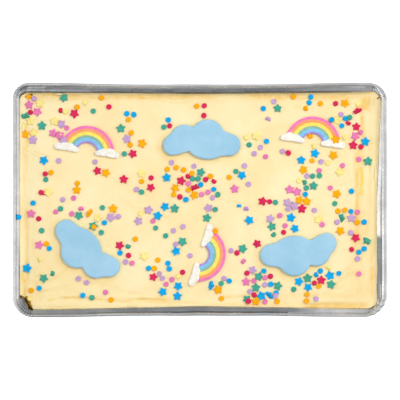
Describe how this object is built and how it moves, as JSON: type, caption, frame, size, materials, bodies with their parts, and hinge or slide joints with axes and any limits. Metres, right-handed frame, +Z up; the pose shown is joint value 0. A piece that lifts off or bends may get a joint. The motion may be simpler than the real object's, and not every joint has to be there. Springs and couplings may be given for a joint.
{
  "type": "sheet cake",
  "caption": "Rectangular frosted sheet cake in a foil baking tray, with sugar stars and dots, blue fondant clouds and small sugar rainbows on top.",
  "frame": {"origin": "middle of the tray's outline, at the height of the surface it rests on", "axes": "+Z up, +X along the tray's long side, +Y towards the side that is at the top of the picture"},
  "size_m": [0.32, 0.198, 0.036],
  "materials": {
    "foil": "bright crinkled foil",
    "sponge_crust": "baked crust, matte",
    "frosting": "soft satin",
    "blue_fondant": "matte, slightly powdery",
    "rainbow_sugar": "matte pressed sugar in six bands",
    "sugar_sprinkles": "matte pressed sugar in several colours"
  },
  "bodies": {
    "root": {"foil_tray": "foil", "sponge": "sponge_crust", "frosting": "frosting", "cloud_top": "blue_fondant", "cloud_left": "blue_fondant", "cloud_right": "blue_fondant", "rainbow_left": "rainbow_sugar", "rainbow_right": "rainbow_sugar", "rainbow_middle": "rainbow_sugar"}
  },
  "joints": []
}
